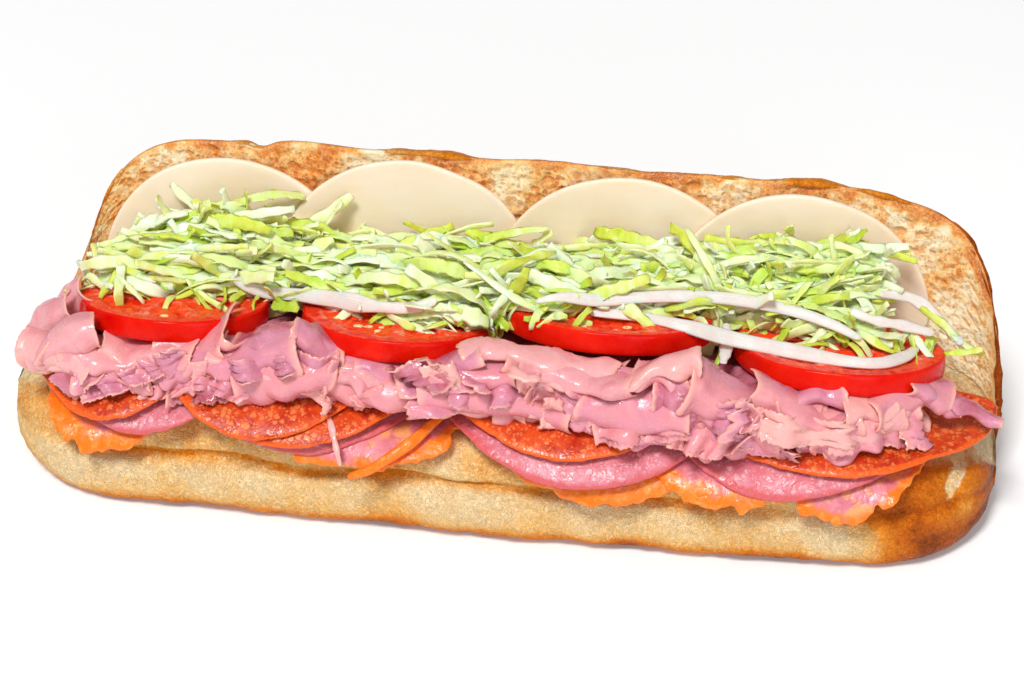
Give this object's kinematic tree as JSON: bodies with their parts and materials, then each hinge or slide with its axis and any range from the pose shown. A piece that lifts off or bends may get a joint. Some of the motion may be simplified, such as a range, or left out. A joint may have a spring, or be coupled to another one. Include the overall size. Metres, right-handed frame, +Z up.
{
  "type": "submarine sandwich",
  "caption": "Long hinge-cut sandwich roll opened like an L, filled with cold cuts, shaved ham, tomato, onion and shredded lettuce, with round cheese slices along the upper half.",
  "frame": {"origin": "middle of the bounding box on the ground, under the open roll", "axes": "+X along the roll to its right end, -Y towards the open front with the fillings, +Z up"},
  "size_m": [0.3048, 0.1044, 0.0887],
  "materials": {
    "roll": "baked crust and crumb",
    "capicola": "moist, seasoned orange rim",
    "salami": "moist, fat marbling",
    "pepperoni": "oily, fat specks",
    "tomato": "wet skin and flesh",
    "cheese": "smooth, waxy",
    "ham": "moist, thin shaved sheets",
    "lettuce": "crisp, slightly wet",
    "onion": "translucent, wet"
  },
  "bodies": {
    "root": {"roll": "roll", "capicola_1": "capicola", "capicola_2": "capicola", "capicola_3": "capicola", "capicola_4": "capicola", "capicola_5": "capicola", "salami_1": "salami", "salami_2": "salami", "salami_3": "salami", "salami_4": "salami", "pepperoni_1": "pepperoni", "pepperoni_2": "pepperoni", "pepperoni_3": "pepperoni", "pepperoni_4": "pepperoni", "pepperoni_5": "pepperoni", "ham": "ham", "tomato_1": "tomato", "tomato_2": "tomato", "tomato_3": "tomato", "tomato_4": "tomato", "lettuce": "lettuce", "onion_1": "onion", "onion_2": "onion", "onion_3": "onion", "onion_4": "onion", "onion_5": "onion", "onion_6": "onion", "cheese_1": "cheese", "cheese_2": "cheese", "cheese_3": "cheese", "cheese_4": "cheese"}
  },
  "joints": []
}
